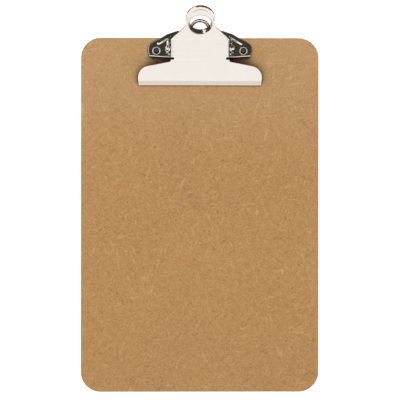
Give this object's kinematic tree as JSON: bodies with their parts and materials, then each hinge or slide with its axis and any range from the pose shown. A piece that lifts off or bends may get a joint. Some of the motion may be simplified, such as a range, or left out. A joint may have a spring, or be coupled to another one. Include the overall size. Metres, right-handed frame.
{
  "type": "clipboard",
  "caption": "Memo-size hardboard clipboard with rounded corners and a riveted, spring-closed steel lever clip whose tilted handle has a collared hanging hole.",
  "frame": {"origin": "centre of the board's back face, so z = 0 is the plane the clipboard lies on", "axes": "+X to the right when reading, +Y along the board towards the clip, +Z out of the writing face"},
  "size_m": [0.1524, 0.2455, 0.0302],
  "materials": {
    "hardboard": "smooth pressed hardboard with fine fibre mottling",
    "plated_base": "bright nickel plate on stamped steel",
    "plated_lever": "satin nickel plate on stamped steel",
    "plated_pin": "bright nickel plate on steel",
    "spring_wire": "drawn spring wire",
    "plated_rivet": "bright nickel plate on steel"
  },
  "bodies": {
    "base": {"board": "hardboard", "base_plate": "plated_base", "pivot_pin": "plated_pin", "torsion_spring": "spring_wire", "rivet_left": "plated_rivet", "rivet_right": "plated_rivet"},
    "lever": {"clamp_lever": "plated_lever"}
  },
  "joints": [
    {"name": "lever_pivot", "type": "hinge", "parent": "base", "child": "lever", "pos_m": [0, 0.1065, 0.009], "axis": [-1, 0, 0], "range_deg": [0, 28], "stiffness_Nm_per_rad": 0.3, "deforming": ["torsion_spring"]}
  ]
}
